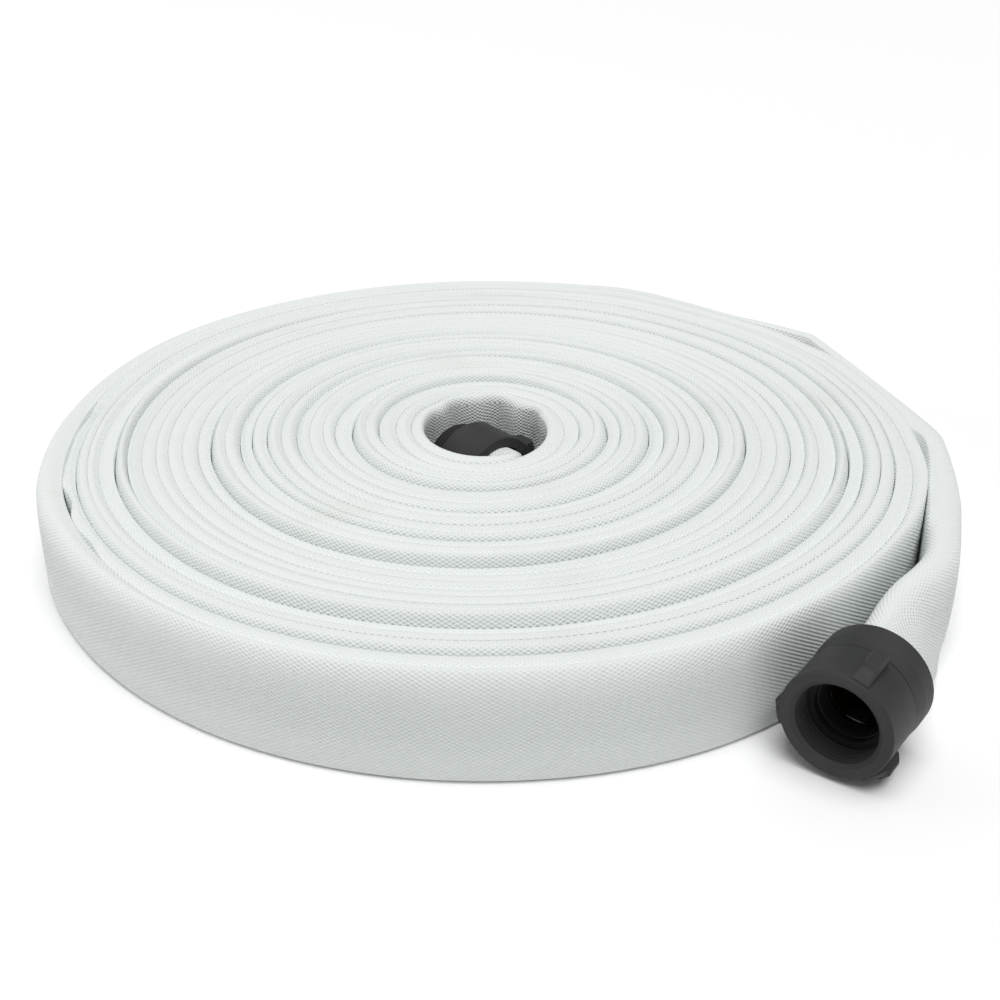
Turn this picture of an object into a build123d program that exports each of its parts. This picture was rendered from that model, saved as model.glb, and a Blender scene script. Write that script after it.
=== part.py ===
from build123d import *
import math
import os

# Rolled lay-flat fire hose with a swivel coupling at its outer end and a
# fixed male coupling in the eye of the roll.  Millimetres and degrees.
# Plan positions are given from the axis of the roll, +Z is up, and the
# surface that the roll lies on is z = 0.

# --- the roll -------------------------------------------------------------
ROLL_RADIUS = 302.0             # nominal outside radius of the roll
HOSE_WIDTH = 71.0               # lay-flat width, which is the roll's height
HOSE_THICK = 9.2                # thickness of the flat hose
EYE_CENTRE = (-1.0, -1.0)       # the oval eye in the middle of the roll
EYE_HALF_X = 46.5
EYE_HALF_Y = 51.5
# The place of the roll's axis in the part's frame, whose origin is in the
# middle of the whole part's footprint.
ROLL_AXIS = (-4.21, 7.83)

# Outside of the roll: (angle from +X, share of the nominal radius).  The
# outermost turn is kinked at 66 degrees and ends at the first angle; from
# there back to 360 degrees the turn under it is the outside.
OUTLINE = [
    (57, 0.998), (66, 1.018), (78, 1.005), (95, 1.003), (120, 1.008),
    (150, 1.018), (180, 0.996), (210, 0.998), (240, 1.000), (270, 1.000),
    (296, 0.999), (311, 0.984), (335, 0.970), (365, 0.958), (390, 0.953),
]

# --- the layers of the hose -------------------------------------------------
OUTER_WALL = 1.7                # woven outer jacket
INNER_WALL = 1.5                # woven inner jacket
LINER_WALL = 0.9                # rubber lining
LAYER_GAP = 0.15                # between one layer and the next
ROUND_RADIUS = 24.6             # outside radius where a coupling holds it

# --- the tail: the last half metre, which leaves the roll --------------------
TAIL_Z = 36.0                   # height of its centreline
TAIL_ROUTE = [
    (194.5, 219.4), (266.8, 165.5), (291.5, 74.8), (308.0, -29.5),
    (290.5, -106.0), (265.4, -185.1), (214.0, -255.3),
]
BEND_SHARE = 0.45               # share of the shorter run that an arc takes
OPENING_LENGTH = 72.0           # over which the flat hose opens to a tube
OPENING_STEPS = 6
CLAMPED_LENGTH = 18.4           # hose held inside a coupling's bowl

# --- both couplings, along the axis from the open end -----------------------
WATERWAY_RADIUS = 19.05
THREAD_PITCH = 2.822            # nine threads to the inch
BOWL_BORE = 24.9
BOWL_RADIUS = 33.1
BOWL_DEPTH = 22.0               # length of the bore that takes the hose
BOWL_EDGE = 1.2
TAIL_GASKET_THICK = 3.5
RING_LENGTH = 16.5
RING_RADIUS = 20.0
LUG_REACH = 39.4                # from the axis to the crest of a rocker lug
LUG_WIDTH = 10.0
LUG_BEVEL = 1.6

# --- female coupling ----------------------------------------------------------
FEMALE_LENGTH = 55.0
NUT_LENGTH = 31.0
NUT_RADIUS = 32.25
NUT_LUGS = 3
NUT_LUG_ANGLE = 107.0           # of one lug, as the nut rests
FEMALE_THREAD_MINOR = 23.75
FEMALE_THREAD_MAJOR = 25.4
FEMALE_THREAD_START = 2.2
FEMALE_THREADS = 5
MOUTH_RADIUS = 26.2
SEAT_START = 17.2               # recess for the swivel gasket
SEAT_RADIUS = 26.6
SEAT_LENGTH = 4.8
RUNNING_GAP = 0.08              # swivel bearing, on the radius
BODY_GAP = 0.3                  # end play of the swivel
SPIGOT_RADIUS = 27.5
RACE_Z = 26.0
BALL_RADIUS = 2.0
BALL_COUNT = 42
PORT_RADIUS = 2.2
PORT_ANGLE = 270.0

# --- male coupling --------------------------------------------------------------
MALE_Z = 38.5                   # height of its axis
MALE_END = (-23.9, 16.4)        # centre of its threaded end
MALE_HEADING = -50.0            # direction from its threaded end to its bowl
MALE_RADIUS = 32.2
MALE_THREAD_MAJOR = 25.27
MALE_THREAD_MINOR = 23.5
MALE_THREAD_LENGTH = 16.0
MALE_THREADS = 5
MALE_LENGTH = 50.0
MALE_LUGS = 2
MALE_LUG_ANGLE = 24.0
INNER_END_LENGTH = 36.0         # hose between the male bowl and the first turn
INNER_END_OPEN = 0.62           # how far it has flattened at the eye's wall


def polar(angle, radius):
    """A plan point from an angle in degrees and a radius."""
    turn = math.radians(angle)
    return (radius * math.cos(turn), radius * math.sin(turn))


def heading(angle):
    """Unit vector in plan for a direction in degrees."""
    x, y = polar(angle, 1.0)
    return Vector(x, y, 0)


def ring_solid(profile):
    """Turn a closed profile of (radius, distance along the axis) about Z."""
    outline = Polyline(*[(r, 0, z) for r, z in profile], close=True)
    return revolve(make_face(outline), axis=Axis.Z, revolution_arc=360)


def tube(r_out, r_in, z_low, z_high):
    """A plain round sleeve about Z."""
    return ring_solid([(r_in, z_low), (r_out, z_low), (r_out, z_high), (r_in, z_high)])


def thread_lands(root, crest, start, count):
    """Profile points of a row of thread-shaped grooves along the axis."""
    points = []
    for number in range(count):
        z = start + number * THREAD_PITCH
        points += [
            (root, z),
            (root, z + 0.30 * THREAD_PITCH),
            (crest, z + 0.55 * THREAD_PITCH),
            (crest, z + 0.75 * THREAD_PITCH),
        ]
    points.append((root, start + count * THREAD_PITCH))
    return points


def rocker_lug(z_low, z_high, base):
    """One rocker lug, pointing along +X: a ramp, a step and a high crest."""
    length = z_high - z_low
    side = [
        (base - 1.5, z_low),
        (base + 1.0, z_low),
        (LUG_REACH - 3.8, z_low + 0.10 * length),
        (LUG_REACH - 2.4, z_low + 0.30 * length),
        (LUG_REACH, z_low + 0.38 * length),
        (LUG_REACH, z_high - 0.12 * length),
        (LUG_REACH - 2.5, z_high),
        (base - 1.5, z_high),
    ]
    outline = Polyline(*[(r, 0, z) for r, z in side], close=True)
    blank = extrude(make_face(outline), amount=LUG_WIDTH / 2, both=True)
    crest = [e for e in blank.edges().filter_by(GeomType.LINE) if e.center().X > LUG_REACH - 4.5]
    long_edges = [e for e in crest if abs(e.tangent_at(0.5).Y) < 0.1]
    return chamfer(long_edges, LUG_BEVEL)


def with_lugs(body, count, first_angle, z_low, z_high, base):
    """The body with its rocker lugs evenly spaced round the axis."""
    lug = rocker_lug(z_low, z_high, base)
    for number in range(count):
        body += Rot(0, 0, first_angle + number * 360 / count) * lug
    return body


def race():
    """The ring-shaped ball race, shared by the nut and the tailpiece."""
    groove = Plane.XZ * Pos(SPIGOT_RADIUS, RACE_Z) * Circle(BALL_RADIUS + RUNNING_GAP)
    return revolve(groove, axis=Axis.Z, revolution_arc=360)


def swivel_nut():
    """Threaded nut with rocker lugs, which turns freely on the tailpiece."""
    bore = SPIGOT_RADIUS + RUNNING_GAP
    seat_end = SEAT_START + SEAT_LENGTH
    profile = [
        (MOUTH_RADIUS, 0.0),
        (NUT_RADIUS - 1.0, 0.0),
        (NUT_RADIUS, 1.0),
        (NUT_RADIUS, NUT_LENGTH - 0.6),
        (NUT_RADIUS - 0.6, NUT_LENGTH),
        (bore, NUT_LENGTH),
        (bore, seat_end),
        (SEAT_RADIUS, seat_end),
        (SEAT_RADIUS, SEAT_START),
    ]
    lands = thread_lands(FEMALE_THREAD_MINOR, FEMALE_THREAD_MAJOR, FEMALE_THREAD_START, FEMALE_THREADS)
    profile += [(FEMALE_THREAD_MINOR, SEAT_START)] + lands[::-1]
    nut = ring_solid(profile)
    nut = with_lugs(nut, NUT_LUGS, NUT_LUG_ANGLE, 1.2, 27.2, NUT_RADIUS)
    return nut - race() - port()


def port():
    """Filling hole of the ball race, drilled through the nut."""
    drill = Cylinder(PORT_RADIUS, NUT_RADIUS, align=(Align.CENTER, Align.CENTER, Align.MIN))
    return Rot(0, 0, PORT_ANGLE) * Pos(SPIGOT_RADIUS, 0, RACE_Z) * Rot(0, 90, 0) * drill


def ball_port_plug():
    """Screw plug with a slot, which closes the filling hole."""
    foot = SPIGOT_RADIUS + BALL_RADIUS + 2 * RUNNING_GAP
    length = NUT_RADIUS - 0.3 - foot
    plug = Cylinder(PORT_RADIUS - 0.02, length, align=(Align.CENTER, Align.CENTER, Align.MIN))
    slot = Pos(0, 0, length) * Box(2 * PORT_RADIUS, 0.8, 1.6)
    return Rot(0, 0, PORT_ANGLE) * Pos(foot, 0, RACE_Z) * Rot(0, 90, 0) * (plug - slot)


def swivel_balls():
    """The ring of steel balls between the nut and the tailpiece."""
    spots = [Rot(0, 0, i * 360 / BALL_COUNT) * Pos(SPIGOT_RADIUS, 0, RACE_Z) for i in range(BALL_COUNT)]
    return Compound([spot * Sphere(BALL_RADIUS) for spot in spots])


def swivel_gasket():
    """Rubber washer that seals the mating thread's end."""
    return tube(SEAT_RADIUS - 0.1, WATERWAY_RADIUS + 0.6, SEAT_START + 0.1, SEAT_START + SEAT_LENGTH - 0.1)


def bowl_profile(bowl_start, length, front_radius):
    """Outside and bore of the bowl that takes the hose, back end first."""
    return [
        (BOWL_BORE, length - BOWL_DEPTH),
        (BOWL_BORE, length - 0.8),
        (BOWL_BORE + 0.8, length),
        (BOWL_RADIUS - BOWL_EDGE, length),
        (BOWL_RADIUS, length - BOWL_EDGE),
        (BOWL_RADIUS, bowl_start + 11.0),
        (front_radius, bowl_start),
    ]


def female_tailpiece():
    """Bowl, waterway and spigot that the swivel nut turns on."""
    nose = SEAT_START + SEAT_LENGTH + BODY_GAP
    shoulder = NUT_LENGTH + BODY_GAP
    profile = [
        (WATERWAY_RADIUS, nose),
        (WATERWAY_RADIUS, FEMALE_LENGTH - BOWL_DEPTH),
    ]
    profile += bowl_profile(shoulder, FEMALE_LENGTH, NUT_RADIUS - 0.3)
    profile += [(SPIGOT_RADIUS, shoulder), (SPIGOT_RADIUS, nose + 0.6), (SPIGOT_RADIUS - 0.6, nose)]
    return ring_solid(profile) - race()


def male_coupling():
    """Male thread, waterway, rocker lugs and bowl in one piece."""
    lands = thread_lands(MALE_THREAD_MAJOR, MALE_THREAD_MINOR, 1.2, MALE_THREADS)
    profile = [(WATERWAY_RADIUS, 0.0), (MALE_THREAD_MINOR - 0.4, 0.0)]
    profile += lands
    profile += [
        (MALE_THREAD_MAJOR, MALE_THREAD_LENGTH),
        (MALE_RADIUS - 0.8, MALE_THREAD_LENGTH),
        (MALE_RADIUS, MALE_THREAD_LENGTH + 0.8),
        (MALE_RADIUS, MALE_LENGTH - 0.8),
        (MALE_RADIUS - 0.8, MALE_LENGTH),
        (BOWL_BORE + 0.8, MALE_LENGTH),
        (BOWL_BORE, MALE_LENGTH - 0.8),
        (BOWL_BORE, MALE_LENGTH - BOWL_DEPTH),
        (WATERWAY_RADIUS, MALE_LENGTH - BOWL_DEPTH),
    ]
    body = ring_solid(profile)
    lug_start = MALE_THREAD_LENGTH + 9.0
    return with_lugs(body, MALE_LUGS, MALE_LUG_ANGLE, lug_start, lug_start + 22.0, MALE_RADIUS)


def tail_gasket(length):
    """Rubber ring at the bottom of a bowl, under the hose's cut end."""
    start = length - BOWL_DEPTH + 0.02
    return tube(BOWL_BORE - 0.1, WATERWAY_RADIUS + 0.3, start, start + TAIL_GASKET_THICK)


def expansion_ring(length):
    """Brass ring that was rolled outwards to clamp the hose in a bowl."""
    start = length - CLAMPED_LENGTH + 0.1
    return tube(RING_RADIUS, WATERWAY_RADIUS, start, start + RING_LENGTH)


def layer_insets():
    """How far each layer's outside and inside lie within the hose's outside."""
    insets = []
    depth = 0.0
    for wall in (OUTER_WALL, INNER_WALL, LINER_WALL):
        insets.append((depth, depth + wall))
        depth += wall + LAYER_GAP
    return insets


def section(opening, inset):
    """Hose section standing on edge: 0 is flat, 1 is a round tube."""
    flat_radius = HOSE_THICK / 2
    radius = flat_radius + (ROUND_RADIUS - flat_radius) * opening
    straight = (HOSE_WIDTH - HOSE_THICK) * (1 - opening) + 0.2 * opening
    return Rot(0, 0, 90) * SlotCenterToCenter(straight, 2 * (radius - inset))


def upright(point, direction):
    """Plane across the hose: its Y is up and its Z runs along the hose."""
    return Plane(origin=point, x_dir=Vector(0, 0, 1).cross(direction), z_dir=direction)


def tail_path():
    """Straight runs joined by tangent arcs, from the roll to the bowl."""
    corners = [Vector(x, y, TAIL_Z) for x, y in TAIL_ROUTE]
    radii = []
    for before, here, after in zip(corners, corners[1:], corners[2:]):
        arriving = here - before
        leaving = after - here
        half_turn = math.radians(arriving.get_angle(leaving)) / 2
        radii.append(BEND_SHARE * min(arriving.length, leaving.length) / math.tan(half_turn))
    print("tail bend radii, mm:", [round(r, 1) for r in radii])
    return FilletPolyline(*corners, radius=radii)


def lofted(planes, openings, inset):
    """Solid through hose sections that open step by step."""
    faces = [plane * section(opening, inset) for plane, opening in zip(planes, openings)]
    return loft(faces, ruled=True)


def tail_layer(path, inset_out, inset_in):
    """One layer of the tail: flat, then opening, then round in the bowl."""
    flat_length = path.length - OPENING_LENGTH
    flat_share = flat_length / path.length
    flat_path = path.wire().trim(0.0, flat_share)
    steps = [i / OPENING_STEPS for i in range(OPENING_STEPS + 1)]
    planes = []
    for step in steps:
        share = flat_share + (1 - flat_share) * step
        planes.append(upright(path.position_at(share), path.tangent_at(share)))
    start = upright(path.position_at(0), path.tangent_at(0))
    end_centre = path.position_at(1)
    end_way = path.tangent_at(1)
    held = upright(end_centre + end_way * CLAMPED_LENGTH, end_way)
    solids = []
    for inset in (inset_out, inset_in):
        flat = sweep(start * section(0, inset), path=flat_path)
        opening = lofted(planes, steps, inset)
        clamped = extrude(upright(end_centre, end_way) * section(1, inset), amount=CLAMPED_LENGTH)
        solids.append(flat + opening + clamped)
    return solids[0] - solids[1]


def roll_solid():
    """Outside of the wound hose, with its oval eye and the step at its end."""
    start = Vector(*TAIL_ROUTE[0])
    way = (Vector(*TAIL_ROUTE[1]) - start).normalized()
    across = Vector(-way.Y, way.X)
    crest = start + across * (HOSE_THICK / 2)
    step_foot = start - across * (HOSE_THICK / 2 + BODY_GAP)
    rim = [crest] + [Vector(*polar(a, share * ROLL_RADIUS)) for a, share in OUTLINE] + [step_foot]
    outside = Spline(*rim)
    face = make_face([outside.edge(), Line(step_foot, crest).edge()])
    roll = extrude(face, amount=HOSE_WIDTH)
    eye = Pos(*EYE_CENTRE, 0) * extrude(Ellipse(EYE_HALF_X, EYE_HALF_Y), amount=HOSE_WIDTH)
    return roll - eye


def inner_end_layer(roll, inset_out, inset_in):
    """Hose between the male bowl and the first turn, flattening as it goes."""
    length = CLAMPED_LENGTH
    flattening = Plane.XY.offset(MALE_LENGTH)
    wall = Plane.XY.offset(MALE_LENGTH + INNER_END_LENGTH)
    solids = []
    for inset in (inset_out, inset_in):
        held = Pos(0, 0, MALE_LENGTH - length) * extrude(section(1, inset), amount=length)
        free = lofted([flattening, wall], [1, INNER_END_OPEN], inset)
        solids.append(held + free)
    return place_male() * (solids[0] - solids[1]) - roll


def place_female():
    """From the coupling's own axis to its place at the end of the tail."""
    bowl_end = Vector(*TAIL_ROUTE[-1], TAIL_Z)
    backwards = (Vector(*TAIL_ROUTE[-2], TAIL_Z) - bowl_end).normalized()
    face = bowl_end - backwards * FEMALE_LENGTH
    return upright(face, backwards).location


def place_male():
    """From the coupling's own axis to its place in the eye."""
    return upright(Vector(*MALE_END, MALE_Z), heading(MALE_HEADING)).location


def build():
    """All the pieces, by node name, about the roll's axis."""
    outer, inner, liner = layer_insets()
    path = tail_path()
    print("tail length, mm:", round(path.length, 1))
    roll = roll_solid()
    female = place_female()
    male = place_male()
    return {
        "outer_jacket_roll": roll,
        "outer_jacket_tail": tail_layer(path, *outer),
        "inner_jacket_tail": tail_layer(path, *inner),
        "liner_tail": tail_layer(path, *liner),
        "outer_jacket_inner_end": inner_end_layer(roll, *outer),
        "inner_jacket_inner_end": inner_end_layer(roll, *inner),
        "liner_inner_end": inner_end_layer(roll, *liner),
        "female_tailpiece": female * female_tailpiece(),
        "female_tail_gasket": female * tail_gasket(FEMALE_LENGTH),
        "female_expansion_ring": female * expansion_ring(FEMALE_LENGTH),
        "swivel_nut": female * swivel_nut(),
        "swivel_balls": female * swivel_balls(),
        "ball_port_plug": female * ball_port_plug(),
        "swivel_gasket": female * swivel_gasket(),
        "male_coupling": male * male_coupling(),
        "male_tail_gasket": male * tail_gasket(MALE_LENGTH),
        "male_expansion_ring": male * expansion_ring(MALE_LENGTH),
    }


os.makedirs("parts", exist_ok=True)
for name, shape in build().items():
    export_step(Pos(*ROLL_AXIS, 0) * shape, f"parts/{name}.step")
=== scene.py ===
import math

import bmesh
import bpy
import numpy as np
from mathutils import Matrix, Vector


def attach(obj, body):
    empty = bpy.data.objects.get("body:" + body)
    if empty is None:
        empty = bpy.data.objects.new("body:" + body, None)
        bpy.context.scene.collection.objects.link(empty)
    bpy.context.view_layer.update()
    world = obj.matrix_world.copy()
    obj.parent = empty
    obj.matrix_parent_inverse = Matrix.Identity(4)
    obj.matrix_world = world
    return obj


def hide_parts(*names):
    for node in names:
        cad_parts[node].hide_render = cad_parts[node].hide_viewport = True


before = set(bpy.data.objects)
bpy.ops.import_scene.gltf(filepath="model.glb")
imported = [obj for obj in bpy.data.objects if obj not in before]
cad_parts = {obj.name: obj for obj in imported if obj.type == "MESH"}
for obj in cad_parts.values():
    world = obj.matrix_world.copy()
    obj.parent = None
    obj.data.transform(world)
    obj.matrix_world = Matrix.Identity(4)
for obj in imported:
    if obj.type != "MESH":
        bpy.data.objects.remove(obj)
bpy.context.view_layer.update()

# ---------------------------------------------------------------- dimensions
# Metres and degrees.  The roll's axis stands at ROLL_AXIS; angles in plan
# run anticlockwise from +X, and the hose winds outwards clockwise.
ROLL_AXIS = Vector((-0.00421, 0.00783, 0.0))
ROLL_RADIUS = 0.302
HOSE_WIDTH = 0.071
HALF_WIDTH = HOSE_WIDTH / 2
HOSE_THICK = 0.0092
PRESSED_CROWN = 0.0014          # height of an edge pressed between two turns
FREE_CROWN = 0.0100             # height of an edge with nothing beside it
FREE_LEAN = 0.0020              # how far a free side draws in at its edges
FREE_STEP = 0.0045              # an edge that stands this much higher is free
FLOOR_GAP = 0.0004              # under the roll
TURN_GAP = 0.00006              # between one turn and the next
FIRST_ANGLE = 270.0             # where the first turn starts, in the eye
LAST_ANGLE = 48.0               # where the outermost turn leaves the roll
TURNS = 26 + (FIRST_ANGLE - LAST_ANGLE) / 360
FACES = TURNS + 1               # from the eye's own face to the outside

# The eye, as an oval that the first turn winds out of.
EYE_CENTRE = (-0.0033, -0.0033)
EYE_HALF = (0.0419, 0.0492)
EYE_CLOSING = [                 # how far the first turns' edges lean in
    (0, 0.0065), (45, 0.0020), (90, -0.0015), (135, 0.0020), (180, 0.0065),
    (230, 0.0070), (270, 0.0045), (310, 0.0060),
]

PLEAT_SIZE = 0.0070             # of the puckers across the back of the eye
PUSHED_IN = 0.0095              # how far the turns inside give way on the left

# Outside of the outermost turn, taken round the roll as one closed shape:
# angle and share of the nominal radius.  Past 296 degrees it is the turn
# that the tail lies against.
OUTSIDE = [
    (48, 0.9850), (57, 0.9990), (66, 1.0210), (75, 1.0090), (95, 1.0070),
    (120, 1.0141), (150, 1.0250), (166, 1.0165), (180, 1.0150), (198, 1.0215),
    (212, 1.0160), (240, 1.0163), (270, 1.0189), (296, 1.0201), (311, 1.0085),
    (325, 1.0110), (332, 1.0165), (340, 1.0130), (348, 1.0095), (354, 1.0015),
    (363, 0.9995), (370, 0.9960), (378, 0.9950), (385, 1.0030), (391, 0.9945),
    (397, 0.9965), (402, 0.9905),
]

# Open slits between the outermost turn and the one inside it: middle angle,
# half width in degrees and opening.
SLITS = [
    (98, 3, 0.0022), (131, 3, 0.0030), (176, 5, 0.0034), (187, 9, 0.0016),
    (202, 4, 0.0042), (214, 4, 0.0026),
]

# The edges of some turns stand higher than the next one outside them:
# share of the radius at the front, and how far the edge drops there.
DROPS = [
    (0.222, 0.0012), (0.320, 0.0038), (0.375, 0.0018), (0.420, 0.0020),
    (0.495, 0.0030), (0.555, 0.0014), (0.635, 0.0048), (0.720, 0.0016),
    (0.775, 0.0012), (0.835, 0.0050), (0.905, 0.0016), (0.945, 0.0014),
]

# Thickness of the tail as it comes loose: distance from the roll, thickness.
TAIL_THICK = [
    (0.0, 0.0092), (0.105, 0.0110), (0.150, 0.0105), (0.250, 0.0235),
    (0.282, 0.0175), (0.365, 0.0240), (0.600, 0.0180),
]

# The tail's route from the roll to the swivel coupling, from the roll's axis.
TAIL_Z = 0.036
TAIL_ROUTE = [
    (0.1945, 0.2194), (0.2215, 0.1985), (0.2430, 0.1815), (0.2530, 0.1735),
    (0.2595, 0.1680), (0.2625, 0.1590), (0.2690, 0.1370), (0.2860, 0.0770),
    (0.2985, 0.0290), (0.3055, 0.0010), (0.3078, -0.0110), (0.3072, -0.0210),
    (0.3050, -0.0405), (0.2965, -0.0850), (0.2820, -0.1345),
    (0.2654, -0.1851), (0.2140, -0.2553),
]
CLAMPED_LENGTH = 0.0184         # hose held inside a coupling's bowl
LINED_RADIUS = 0.0201           # inside of its rubber lining
ROUND_RADIUS = 0.0246           # of the hose that a coupling holds open
OPENING_LENGTH = 0.064          # over which the flat hose opens to a tube
TAIL_LEAN = 26                  # how far the tail's end leans towards the roll
LOOSE_FROM = 0.385              # distance at which the tail leaves the roll's side

# The inner end, from inside the male coupling's bowl to the first turn.
INNER_Z = 0.0385
INNER_ROUTE = [
    (-0.0056, -0.0055), (0.0082, -0.0219), (0.0160, -0.0312),
    (0.0175, -0.0445), (0.0070, -0.0478), (-0.0010, -0.0478),
]

# Staggered weave of the jacket: pitch along the hose and from row to row.
WEAVE_PITCH = 0.0041
WEAVE_ROW = 0.00124

# The camera, from the middle of the roll's top: its place in roll radii, how
# far it looks down and to the right, and its lens in millimetres.
CAMERA_PLACE = (0.0, -3.01968, 1.41174)
CAMERA_DOWN = 28.0208
CAMERA_RIGHT = 0.5534
CAMERA_LENS = 52.057


# ------------------------------------------------------------- small helpers
def smooth(x):
    """Ease from 0 to 1."""
    x = np.clip(x, 0.0, 1.0)
    return x * x * (3 - 2 * x)


def wave(points, angles):
    """Smooth closed curve through (angle, value) points, read at the angles."""
    known = np.array(points, float)
    spots = np.radians(known[:, 0])
    values = known[:, 1]
    count = len(spots)
    gaps = np.diff(np.append(spots, spots[0] + 2 * np.pi))
    slopes = np.zeros(count)
    for i in range(count):
        before = (values[i] - values[i - 1]) / gaps[i - 1]
        after = (values[(i + 1) % count] - values[i]) / gaps[i]
        slopes[i] = (before * gaps[i] + after * gaps[i - 1]) / (gaps[i] + gaps[i - 1])
    turned = np.mod(np.radians(angles) - spots[0], 2 * np.pi)
    index = np.clip(np.searchsorted(spots - spots[0], turned, side="right") - 1, 0, count - 1)
    step = gaps[index]
    x = (turned - (spots[index] - spots[0])) / step
    following = (index + 1) % count
    return (
        values[index] * (2 * x**3 - 3 * x**2 + 1)
        + slopes[index] * step * (x**3 - 2 * x**2 + x)
        + values[following] * (3 * x**2 - 2 * x**3)
        + slopes[following] * step * (x**3 - x**2)
    )


def eased(points, at):
    """Value read from (place, value) points, easing from each to the next."""
    places, values = np.array(points).T
    i = np.clip(np.searchsorted(places, at) - 1, 0, len(places) - 2)
    share = (at - places[i]) / (places[i + 1] - places[i])
    return values[i] + (values[i + 1] - values[i]) * smooth(share)


def wandering(length, spacing, size, seed):
    """Smooth random value along a length: its own seed, its own spacing."""
    source = np.random.default_rng(seed)
    count = int(length / spacing) + 4
    knots = source.uniform(-size, size, count)

    def value(at):
        x = np.asarray(at, float) / spacing + 1
        i = np.clip(x.astype(int), 0, count - 2)
        return knots[i] + (knots[i + 1] - knots[i]) * smooth(x - i)

    return value


def linked(name, shape):
    """New object in the scene from a finished shape."""
    mesh = bpy.data.meshes.new(name)
    shape.to_mesh(mesh)
    shape.free()
    piece = bpy.data.objects.new(name, mesh)
    bpy.context.scene.collection.objects.link(piece)
    return piece


# -------------------------------------------------------------- woven tubes
def distances_round(rings):
    """Distance round each ring to its points, from the middle of its outer side."""
    closed = np.concatenate([rings, rings[:, :1]], axis=1)
    steps = np.linalg.norm(np.diff(closed, axis=1), axis=2)
    spots = np.concatenate([np.zeros((len(rings), 1)), np.cumsum(steps, axis=1)], axis=1)
    return spots - spots[:, :-1][:, ACROSS == 1].mean(axis=1, keepdims=True)


def close_tube(shape, seam, lined):
    """Join the tube's seam and fill both ends, whose rims stay sharp."""
    bmesh.ops.remove_doubles(shape, verts=seam, dist=1e-7)
    ends = [edge for edge in shape.edges if edge.is_boundary]
    for edge in ends:
        edge.smooth = False
    for face in bmesh.ops.holes_fill(shape, edges=ends, sides=0)["faces"]:
        face.material_index = int(lined)
    bmesh.ops.recalc_face_normals(shape, faces=shape.faces)


def woven_tube(name, rings, along, lined_from=None):
    """Closed tube from an array of rings of points, with its own UV map.

    rings has the shape (rings, points round, 3).  along gives each ring's
    distance along the hose.  From the ring lined_from on, the surface is the
    rubber lining.
    """
    count, around = rings.shape[:2]
    girth = distances_round(rings)
    shape = bmesh.new()
    bmesh.ops.create_grid(
        shape, x_segments=count - 1, y_segments=around, size=1.0, calc_uvs=False
    )
    uv_layer = shape.loops.layers.uv.new("hose")
    edge_layer = shape.verts.layers.float.new("edge")
    flat = np.array([vert.co[:2] for vert in shape.verts])
    column = np.rint((flat[:, 0] + 1) / 2 * (count - 1)).astype(int)
    row = np.rint((flat[:, 1] + 1) / 2 * around).astype(int)
    for vert, place in zip(shape.verts, rings[column, row % around]):
        vert.co = place
        vert[edge_layer] = EDGE[row[vert.index] % around]
    for face in shape.faces:
        for loop in face.loops:
            i = loop.vert.index
            loop[uv_layer].uv = (along[column[i]], girth[column[i], row[i]])
        if lined_from is not None:
            face.material_index = int(min(column[v.index] for v in face.verts) >= lined_from)
        face.smooth = True
    seam = [vert for vert in shape.verts if row[vert.index] in (0, around)]
    close_tube(shape, seam, lined_from is not None)
    return linked(name, shape)


# Section of the flat hose on its edge, from its upper edge's roll side over
# the top, down the outer side, along the lower edge and up the roll side:
# across (-1 to 1) and the part of the section.
TOP = [-1, -0.84, -0.55, -0.2, 0.2, 0.55, 0.84, 1]
SIDE = [0.48, 0.2, -0.2, -0.48]
BOTTOM = [1, 0.8, 0, -0.8, -1]
ACROSS = np.array(TOP + [1] * 4 + BOTTOM + [-1] * 4, float)
LEVEL = np.array([1] * 8 + SIDE + [-1] * 5 + SIDE[::-1], float)
# how far each point counts as the hose's edge, where the weave is drawn tight
EDGE = np.array(
    [0.7] + [1] * 6 + [0.7, 0.25, 0, 0, 0.25, 0.7, 1, 1, 1, 0.7, 0.25, 0, 0, 0.25]
)


def crown_depth(free_inside, free_outside, groove_inside, groove_outside):
    """How far each point of an edge lies below the edge's highest line.
    The free sides run from 0, pressed against a neighbour, to 1, free; the
    grooves say how deep a pressed side is, 1 being usual."""
    x = np.abs(ACROSS)
    free = np.where(ACROSS < 0, free_inside[:, None], free_outside[:, None])
    groove = np.where(ACROSS < 0, groove_inside[:, None], groove_outside[:, None])
    pressed = PRESSED_CROWN * groove * smooth(x)
    rounded = FREE_CROWN * (1 - np.sqrt(1 - x**2))
    return pressed + (rounded - pressed) * free


def flat_sections(free_inside, free_outside, groove_inside, groove_outside):
    """Heights of all points of each section, from the middle of the hose."""
    depth = crown_depth(free_inside, free_outside, groove_inside, groove_outside)
    # the lower edge is pressed flat by the floor
    depth = np.where(LEVEL < 0, 0.35 * depth, depth)
    return np.where(np.abs(LEVEL) == 1, LEVEL * (HALF_WIDTH - depth), LEVEL * HALF_WIDTH)


def girths():
    """Distance round the flat section to each of its points, and all round."""
    usual = np.ones(1)
    up = flat_sections(usual * 0.5, usual * 0.5, usual, usual)[0]
    points = np.column_stack([ACROSS * HOSE_THICK / 2, up])
    steps = np.linalg.norm(np.diff(np.vstack([points, points[:1]]), axis=0), axis=1)
    return np.concatenate([[0.0], np.cumsum(steps)])


def distances(line):
    """Distance along a line to each of its points."""
    steps = np.linalg.norm(np.diff(line, axis=0), axis=1)
    return np.concatenate([[0.0], np.cumsum(steps)])


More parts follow.
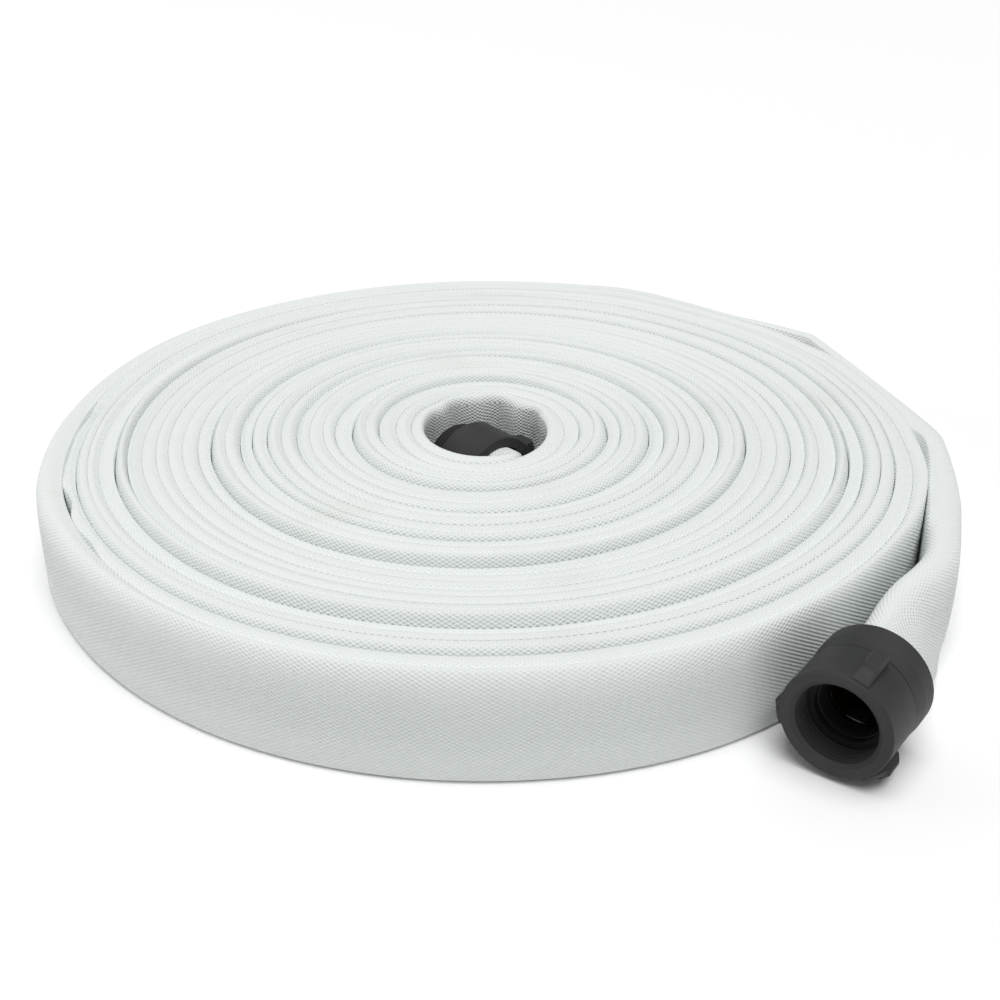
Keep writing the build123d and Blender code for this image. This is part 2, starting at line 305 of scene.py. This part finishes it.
# ------------------------------------------------------------------ the roll
def eye_radius(angle):
    """Radius of the eye's oval, seen from the roll's axis."""
    turned = np.radians(angle)
    cx, cy = EYE_CENTRE
    hx, hy = EYE_HALF
    ux, uy = np.cos(turned), np.sin(turned)
    a = (ux / hx) ** 2 + (uy / hy) ** 2
    b = -2 * (cx * ux / hx**2 + cy * uy / hy**2)
    c = (cx / hx) ** 2 + (cy / hy) ** 2 - 1
    return (-b + np.sqrt(b**2 - 4 * a * c)) / (2 * a)


groove_drift = wandering(FACES + 2, 0.29, 1.0, 53)
side_drift = wandering(FACES, 0.23, 0.0011, 11)
height_drift = wandering(FACES, 0.43, 0.0016, 12)
lean_drift = wandering(FACES, 0.37, 0.0010, 13)


def pleats(face, angle, rise):
    """Puckers of the first turns across the back of the eye, deepest low down."""
    turned = np.mod(angle, 360)
    folds = np.cos(np.radians((turned - 80) * 360 / 38))
    folds = folds + 0.4 * np.cos(np.radians((turned - 95) * 360 / 63))
    across_back = smooth((turned - 22) / 20) * smooth((150 - turned) / 20)
    fading = np.exp(-face / 0.9) * (0.9 - 0.4 * np.clip(rise, 0, 1))
    return PLEAT_SIZE * folds * across_back * fading


def pushed_in(face, angle):
    """How far the outermost turn, not drawn flat on the left, pushes the rest in."""
    near_left = smooth(1 - np.abs(np.mod(angle, 360) - 185) / 60)
    under = smooth((FACES - 0.75 - face) / 0.3)
    fading = np.exp(-np.maximum(FACES - 1.3 - face, 0) / 4)
    return PUSHED_IN * near_left * under * fading


def face_radius(face, angle, rise):
    """Radius of the face between two turns, counted from the eye's own face.
    rise is -1 at the hose's lower edge and 1 at its upper edge."""
    share = face / FACES
    # the turns inside are nearly round, and set a little to the left
    plain = ROLL_RADIUS * (1.006 - 0.012 * np.cos(np.radians(angle - 20)))
    outer = plain + (wave(OUTSIDE, angle) * ROLL_RADIUS - plain) * share**6
    radius = eye_radius(angle) * (1 - share) + outer * share
    inside = np.clip(share * (1 - share) * 14, 0, 1)
    radius = radius + inside * (side_drift(face) + lean_drift(face) * rise)
    closing = wave(EYE_CLOSING, angle) * np.exp(-face / 2.2) * rise**2
    return radius + pleats(face, angle, rise) - closing - pushed_in(face, angle)


def slit(face, angle):
    """Open gap between the outermost turn and the one inside it."""
    turned = np.mod(angle, 360)
    # the outside of the last turn but one has faces up to FACES - 1
    under = smooth((FACES - 0.995 - face) / 0.01) * smooth((face - FACES + 1.99) / 0.01)
    opening = np.zeros_like(face)
    for middle, half, size in SLITS:
        opening += size * np.clip(1 - np.abs(turned - middle) / half, 0, 1) ** 0.7
    return opening * under


def turn_height(turn):
    """How far the hose's upper edge stands above its nominal height."""
    height = np.zeros_like(turn)
    # the drops' shares lie between the eye's front and the roll's front, 1.019
    front = eye_radius(270.0) / ROLL_RADIUS
    faces = [round((share - front) / (1.019 - front) * FACES) for share, _ in DROPS]
    started = 0.0
    for face, (_, drop) in zip(faces, DROPS):
        ending = face - 0.5
        rising = smooth((turn - started) / max(ending - started, 0.5))
        height += drop * rising * smooth((ending + 0.2 - turn) / 0.35)
        started = ending
    return height + height_drift(turn) * smooth((FACES - 1 - turn) / 1.0)


def groove_depth(face):
    """Depth of the groove over a face between two turns, 1 being usual."""
    return 1 + 0.95 * groove_drift(face)


def ring_turns():
    """Turns wound at each ring, from 4.6 mm apart in the eye to 8.2 mm outside."""
    turns = [0.0]
    while turns[-1] < TURNS:
        share = turns[-1] / TURNS
        step = 0.0046 + 0.0036 * share
        turns.append(turns[-1] + step / (2 * np.pi * (0.055 + 0.243 * share)))
    return np.array(turns) * TURNS / turns[-1]


def roll_rings():
    """Rings of points along the wound hose."""
    turn = ring_turns()
    angle = (LAST_ANGLE + 360 * (TURNS - turn))[:, None]
    lift = turn_height(turn)
    over_next = (lift - turn_height(turn + 1)) / FREE_STEP
    over_last = (lift - turn_height(turn - 1)) / FREE_STEP
    free_outside = np.maximum(smooth(over_next), smooth((turn - TURNS + 0.82) / 0.05))
    free_inside = np.maximum(smooth(over_last), smooth(1 - turn))
    up = flat_sections(free_inside, free_outside, groove_depth(turn), groove_depth(turn + 1))
    face = np.repeat(turn[:, None], len(ACROSS), axis=1)
    rise = up / HALF_WIDTH
    inner = face_radius(face, angle, rise)
    outer = face_radius(face + 1, angle, rise) - TURN_GAP - slit(face + 1, angle)
    radius = inner + (outer - inner) * (ACROSS + 1) / 2
    drawn_in = np.where(rise > 0, rise, 0.5 * rise)
    radius -= FREE_LEAN * free_outside[:, None] * np.abs(drawn_in)**3 * (ACROSS + 1) / 2
    turned = np.radians(angle)
    x = ROLL_AXIS.x + radius * np.cos(turned)
    y = ROLL_AXIS.y + radius * np.sin(turned)
    z = HALF_WIDTH + FLOOR_GAP + up + lift[:, None] * (LEVEL == 1)
    return np.stack([x, y, z], axis=2)


# ------------------------------------------------------- tail and inner end
def route_line(route, height):
    """Points along the smooth line through a route, close together."""
    curve = bpy.data.curves.new("route", "CURVE")
    curve.dimensions = "3D"
    curve.resolution_u = 24
    spline = curve.splines.new("NURBS")
    spline.points.add(len(route) - 1)
    for point, (x, y) in zip(spline.points, route):
        point.co = (x + ROLL_AXIS.x, y + ROLL_AXIS.y, height, 1.0)
    spline.order_u = 3
    spline.use_endpoint_u = True
    holder = bpy.data.objects.new("route", curve)
    bpy.context.scene.collection.objects.link(holder)
    mesh = bpy.data.meshes.new_from_object(holder)
    found = np.array([vert.co for vert in mesh.vertices])
    bpy.data.objects.remove(holder)
    return found


def evenly(line, count):
    """The same line as that many points, evenly spaced."""
    far = distances(line)
    spots = np.linspace(0, far[-1], count)
    return np.column_stack([np.interp(spots, far, line[:, i]) for i in range(3)])


def loose_rings(line, thick, opening, twist, pressed):
    """Rings of hose along a line.  thick is its thickness at the middle,
    opening runs from 0, flat, to 1, round, twist leans its upper edge
    towards the roll, in degrees, and pressed is 1 against the roll."""
    ways = np.gradient(line, axis=0)
    ways /= np.linalg.norm(ways, axis=1)[:, None]
    free = np.ones(len(line))
    flat_z = flat_sections(1 - pressed, free, free, free)
    thick = thick[:, None]
    flat_z = flat_z * (1 - 0.35 * (thick - HOSE_THICK) / HOSE_WIDTH)
    flat_x = ACROSS * thick / 2 * (1 - 0.12 * LEVEL**2)
    spots = girths()
    outer_middle = spots[:-1][ACROSS == 1].mean()
    turned = (outer_middle - spots[:-1]) / spots[-1] * 2 * np.pi
    share = opening[:, None]
    x = flat_x + (np.cos(turned) * ROUND_RADIUS - flat_x) * share
    z = flat_z + (np.sin(turned) * ROUND_RADIUS - flat_z) * share
    leaning = np.radians(twist)[:, None]
    out = x * np.cos(leaning) - z * np.sin(leaning)
    return np.stack([
        line[:, :1] - ways[:, 1:2] * out,
        line[:, 1:2] + ways[:, :1] * out,
        line[:, 2:] + x * np.sin(leaning) + z * np.cos(leaning),
    ], axis=2)


def lined_mouth(rings):
    """Rings carried on round the end of the hose and back along its lining."""
    last = rings[-1]
    middle = last.mean(axis=0)
    way = middle - rings[-2].mean(axis=0)
    way /= np.linalg.norm(way)
    inside = middle + (last - middle) * LINED_RADIUS / ROUND_RADIUS
    back = [inside - way * depth for depth in (0.0, 0.012, 0.030)]
    return np.concatenate([rings, np.array(back)])


def held_on(line):
    """The line carried straight on into a coupling's bowl."""
    way = line[-1] - line[-2]
    way /= np.linalg.norm(way)
    return np.vstack([line] + [line[-1] + way * CLAMPED_LENGTH * i / 4 for i in range(1, 5)])


def make_tail(first_ring, started):
    """The tail from the roll to the bowl of the swivel coupling."""
    line = evenly(route_line(TAIL_ROUTE, TAIL_Z), 110)
    length = distances(line)[-1]
    full = held_on(line)
    far = distances(full)
    thick = eased(TAIL_THICK, far)
    opening = smooth((far - (length - OPENING_LENGTH)) / OPENING_LENGTH)
    leaning = smooth((far - (length - 0.10)) / 0.075)
    pressed = 1 - smooth((far - LOOSE_FROM) / 0.035)
    rings = loose_rings(full, thick, opening, TAIL_LEAN * leaning, pressed)
    joined = smooth(1 - far / 0.05)[:, None, None]
    offset = first_ring[None] - rings[:1]
    rings = lined_mouth(rings + offset * joined)
    along = started + distances(rings.mean(axis=1))
    return woven_tube("hose_tail", rings, along, len(full)), line, length


def make_inner_end(last_ring):
    """The short end from the first turn to the male coupling's bowl."""
    line = evenly(route_line(INNER_ROUTE, INNER_Z), 40)
    far = distances(line)
    length = far[-1]
    free_part = length - CLAMPED_LENGTH
    opening = 1 - smooth((far - CLAMPED_LENGTH) / (0.75 * free_part))
    thick = np.full(len(line), HOSE_THICK)
    zero = np.zeros(len(line))
    rings = loose_rings(line, thick, opening, zero, zero)
    joined = smooth((far - CLAMPED_LENGTH) / free_part)[:, None, None]
    rings = rings + (last_ring[None] - rings[-1:]) * joined
    rings = lined_mouth(rings[::-1])
    along = -distances(rings.mean(axis=1))
    return woven_tube("hose_inner_end", rings, along, len(line))


rings = roll_rings()
along = distances(rings.mean(axis=1))
roll_length = along[-1]
roll = woven_tube("wound_hose", rings, along)
tail, tail_line, tail_length = make_tail(rings[-1], roll_length)
inner_end = make_inner_end(rings[0])
print("wound hose, m:", round(roll_length, 2))
print("tail, m:", round(tail_length, 4))


# ---------------------------------------------------------------- materials
def calc(tree, operation, a, b=None):
    """Math node on sockets or plain numbers."""
    made = tree.nodes.new("ShaderNodeMath")
    made.operation = operation
    for i, value in enumerate((a, b)):
        if isinstance(value, bpy.types.NodeSocket):
            tree.links.new(value, made.inputs[i])
        elif value is not None:
            made.inputs[i].default_value = value
    return made.outputs[0]


def new_group(name, inputs, outputs):
    """Shader node group with its inputs' usual values and its outputs."""
    group = bpy.data.node_groups.new(name, "ShaderNodeTree")
    for label, value in inputs.items():
        socket = group.interface.new_socket(label, in_out="INPUT", socket_type="NodeSocketFloat")
        socket.default_value = value
    for label in outputs:
        group.interface.new_socket(label, in_out="OUTPUT", socket_type="NodeSocketFloat")
    return group, group.nodes.new("NodeGroupInput"), group.nodes.new("NodeGroupOutput")


def weave_group():
    """Staggered raised stitches of a circular-woven jacket, from its UV map, with a mask of
    painted shade for the hollows between them.
    """
    sizes = {"Pitch": WEAVE_PITCH, "Row": WEAVE_ROW}
    group, given, result = new_group("jacket_weave", sizes, ("Height", "HollowShade"))
    spot = group.nodes.new("ShaderNodeUVMap")
    spot.uv_map = "hose"
    split = group.nodes.new("ShaderNodeSeparateXYZ")
    group.links.new(spot.outputs[0], split.inputs[0])
    u = calc(group, "DIVIDE", split.outputs[0], given.outputs["Pitch"])
    v = calc(group, "DIVIDE", split.outputs[1], given.outputs["Row"])
    across = calc(group, "COSINE", calc(group, "MULTIPLY", u, 2 * math.pi))
    rows = calc(group, "COSINE", calc(group, "MULTIPLY", v, math.pi))
    stitch = calc(group, "MULTIPLY", across, rows)
    height = calc(group, "ADD", calc(group, "MULTIPLY", stitch, 0.5), 0.5)
    group.links.new(height, result.inputs["Height"])
    # painted shade: the hollows between stitches are darkened in colour
    hollow_shade = calc(group, "POWER", calc(group, "SUBTRACT", 1.0, height), 2.0)
    group.links.new(hollow_shade, result.inputs["HollowShade"])
    return group


def mottle_group():
    """Soft uneven patches and specks, from Object coordinates."""
    sizes = {"Scale": 20.0, "Detail": 4.0}
    group, given, result = new_group("mottle", sizes, ("Patch",))
    place = group.nodes.new("ShaderNodeTexCoord")
    noise = group.nodes.new("ShaderNodeTexNoise")
    group.links.new(place.outputs["Object"], noise.inputs["Vector"])
    group.links.new(given.outputs["Scale"], noise.inputs["Scale"])
    group.links.new(given.outputs["Detail"], noise.inputs["Detail"])
    group.links.new(noise.outputs["Fac"], result.inputs["Patch"])
    return group


weave = weave_group()
mottle = mottle_group()


def use(tree, group, **values):
    """A node group placed in a material with its own values."""
    made = tree.nodes.new("ShaderNodeGroup")
    made.node_tree = group
    for name, value in values.items():
        made.inputs[name].default_value = value
    return made


def mix(tree, share, first, second):
    """Colour between two colours, by a socket or number."""
    made = tree.nodes.new("ShaderNodeMix")
    made.data_type = "RGBA"
    for i, value in ((0, share), (6, first), (7, second)):
        if isinstance(value, bpy.types.NodeSocket):
            tree.links.new(value, made.inputs[i])
        else:
            made.inputs[i].default_value = value
    return made.outputs[2]


def ramp(tree, value, low, high):
    """0 below low, 1 above high, straight between."""
    made = tree.nodes.new("ShaderNodeMapRange")
    tree.links.new(value, made.inputs["Value"])
    made.inputs["From Min"].default_value = low
    made.inputs["From Max"].default_value = high
    return made.outputs[0]


def new_material(name, roughness, metallic=0.0):
    """A material with a plain shader, ready for its patterns."""
    material = bpy.data.materials.new(name)
    material.use_nodes = True
    shader = material.node_tree.nodes["Principled BSDF"]
    shader.inputs["Roughness"].default_value = roughness
    shader.inputs["Metallic"].default_value = metallic
    return material, material.node_tree, shader


def bump(tree, shader, height, distance, strength):
    """Surface relief on the shader from a height socket."""
    made = tree.nodes.new("ShaderNodeBump")
    made.inputs["Strength"].default_value = strength
    made.inputs["Distance"].default_value = distance
    tree.links.new(height, made.inputs["Height"])
    tree.links.new(made.outputs[0], shader.inputs["Normal"])


def jacket_material():
    """White woven polyester with a faint cool tint, slightly soiled, with painted shade in the
    hollows of its weave.
    """
    material, tree, shader = new_material("white_jacket", 0.85)
    shader.inputs["Sheen Weight"].default_value = 0.15
    stitches = use(tree, weave)
    patches = use(tree, mottle, Scale=14.0, Detail=5.0)
    fibres = use(tree, mottle, Scale=900.0, Detail=3.0)
    white = (0.80, 0.83, 0.815, 1)
    # shade is painted shade, laid into the weave's hollows
    shade = (0.60, 0.645, 0.625, 1)
    soiled = (0.755, 0.78, 0.76, 1)
    base = mix(tree, ramp(tree, patches.outputs[0], 0.58, 0.80), white, soiled)
    # the weave is drawn tight and smooth over the hose's edges, where its relief and painted
    # shade are weaker
    edge = tree.nodes.new("ShaderNodeAttribute")
    edge.attribute_name = "edge"
    tightened = calc(tree, "MULTIPLY", edge.outputs["Fac"], 0.70)
    open_weave = calc(tree, "SUBTRACT", 1.05, tightened)
    # painted shade in the weave's hollows, mixed into the base colour
    hollow_shade = calc(tree, "MULTIPLY", stitches.outputs["HollowShade"], open_weave)
    tree.links.new(mix(tree, hollow_shade, base, shade), shader.inputs["Base Color"])
    raised = calc(tree, "ADD", open_weave, 0.20)
    raised = calc(tree, "MULTIPLY", stitches.outputs["Height"], raised)
    relief = calc(tree, "ADD", raised, calc(tree, "MULTIPLY", fibres.outputs[0], 0.2))
    bump(tree, shader, relief, 0.0007, 1.0)
    return material


def coupling_material():
    """Hard-anodised aluminium, satin black."""
    material, tree, shader = new_material("black_anodised", 0.55)
    shader.inputs["Specular IOR Level"].default_value = 0.22
    grain = use(tree, mottle, Scale=260.0, Detail=3.0)
    cloud = use(tree, mottle, Scale=30.0, Detail=3.0)
    dark = (0.034, 0.035, 0.035, 1)
    worn = (0.046, 0.046, 0.0455, 1)
    colour = mix(tree, ramp(tree, cloud.outputs[0], 0.4, 0.7), dark, worn)
    tree.links.new(colour, shader.inputs["Base Color"])
    uneven = calc(tree, "ADD", calc(tree, "MULTIPLY", grain.outputs[0], 0.16), 0.46)
    tree.links.new(uneven, shader.inputs["Roughness"])
    bump(tree, shader, grain.outputs[0], 0.00008, 0.5)
    return material


def plain_finish(name, colour, roughness, metallic, scale):
    """Rubber, brass or steel with a fine uneven surface."""
    material, tree, shader = new_material(name, roughness, metallic)
    grain = use(tree, mottle, Scale=scale, Detail=4.0)
    darker = tuple(c * 0.7 for c in colour) + (1,)
    mottled = mix(tree, grain.outputs[0], colour + (1,), darker)
    tree.links.new(mottled, shader.inputs["Base Color"])
    bump(tree, shader, grain.outputs[0], 0.00005, 0.4)
    return material


white_jacket = jacket_material()
FINISHES = {
    "black_coupling": coupling_material(),
    # the rubber is black, and made darker still as painted shade for the shadow inside the bores
    "rubber_lining": plain_finish("lining_rubber_and_shade", (0.006, 0.006, 0.006), 0.8, 0.0, 500.0),
    "gasket_rubber": plain_finish("gasket_rubber", (0.008, 0.008, 0.009), 0.8, 0.0, 500.0),
    # the brass is darkened, partly as aged brass and partly as painted shade for the shadow
    # inside the couplings
    "brass": plain_finish("ring_brass_and_shade", (0.14, 0.10, 0.05), 0.55, 1.0, 300.0),
    "steel": plain_finish("bright_steel", (0.5, 0.5, 0.51), 0.3, 1.0, 300.0),
}

for piece in (roll, tail, inner_end):
    piece.data.materials.append(white_jacket)
    piece.data.materials.append(FINISHES["rubber_lining"])
    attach(piece, "hose")

NODE_FINISHES = {
    "female_tailpiece": "black_coupling",
    "swivel_nut": "black_coupling",
    "male_coupling": "black_coupling",
    "female_tail_gasket": "gasket_rubber",
    "male_tail_gasket": "gasket_rubber",
    "swivel_gasket": "gasket_rubber",
    "female_expansion_ring": "brass",
    "male_expansion_ring": "brass",
    "swivel_balls": "steel",
    "ball_port_plug": "steel",
}
for name, finish in NODE_FINISHES.items():
    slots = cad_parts[name].data.materials
    slots.clear()
    slots.append(FINISHES[finish])

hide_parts("outer_jacket_roll")
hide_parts("outer_jacket_tail", "inner_jacket_tail", "liner_tail")
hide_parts("outer_jacket_inner_end", "inner_jacket_inner_end", "liner_inner_end")


# ------------------------------------------------------- floor, light, camera
def floor():
    """Plain pale floor that reaches far past the camera's view."""
    shape = bmesh.new()
    bmesh.ops.create_grid(shape, x_segments=1, y_segments=1, size=14.0)
    ground = linked("floor", shape)
    material, _, shader = new_material("pale_floor", 0.9)
    shader.inputs["Base Color"].default_value = (0.96, 0.96, 0.96, 1)
    ground.data.materials.append(material)


def soft_light(name, place, size, power):
    """Large square lamp aimed at the roll."""
    lamp = bpy.data.lights.new(name, "AREA")
    lamp.size = size
    lamp.energy = power
    holder = bpy.data.objects.new(name, lamp)
    holder.location = place
    aim = Vector((0, 0, 0.03)) - Vector(place)
    holder.rotation_euler = aim.to_track_quat("-Z", "Y").to_euler()
    bpy.context.scene.collection.objects.link(holder)


def overhead_light():
    """Broad even light from high above, a little to the front."""
    lamp = bpy.data.lights.new("overhead", "SUN")
    lamp.energy = 2.45
    lamp.angle = math.radians(50)
    holder = bpy.data.objects.new("overhead", lamp)
    holder.rotation_euler = (math.radians(11), math.radians(4), 0)
    bpy.context.scene.collection.objects.link(holder)


def studio():
    """Even pale surroundings with a broad light above."""
    world = bpy.data.worlds.new("studio")
    bpy.context.scene.world = world
    world.use_nodes = True
    backdrop = world.node_tree.nodes["Background"]
    backdrop.inputs["Color"].default_value = (1, 1, 1, 1)
    backdrop.inputs["Strength"].default_value = 0.27
    overhead_light()
    soft_light("left_light", (-2.6, 0.5, 0.9), 1.0, 12)


def camera():
    """Looks down at the roll from the front, 28 degrees below level."""
    lens = bpy.data.cameras.new("camera")
    lens.sensor_width = 36
    lens.lens = CAMERA_LENS
    eye = bpy.data.objects.new("camera", lens)
    top = ROLL_AXIS + Vector((0, 0, HOSE_WIDTH))
    eye.location = top + ROLL_RADIUS * Vector(CAMERA_PLACE)
    eye.rotation_euler = (math.radians(90 - CAMERA_DOWN), 0, -math.radians(CAMERA_RIGHT))
    bpy.context.scene.collection.objects.link(eye)
    bpy.context.scene.camera = eye
    bpy.context.scene.view_settings.view_transform = "Standard"


floor()
studio()
camera()
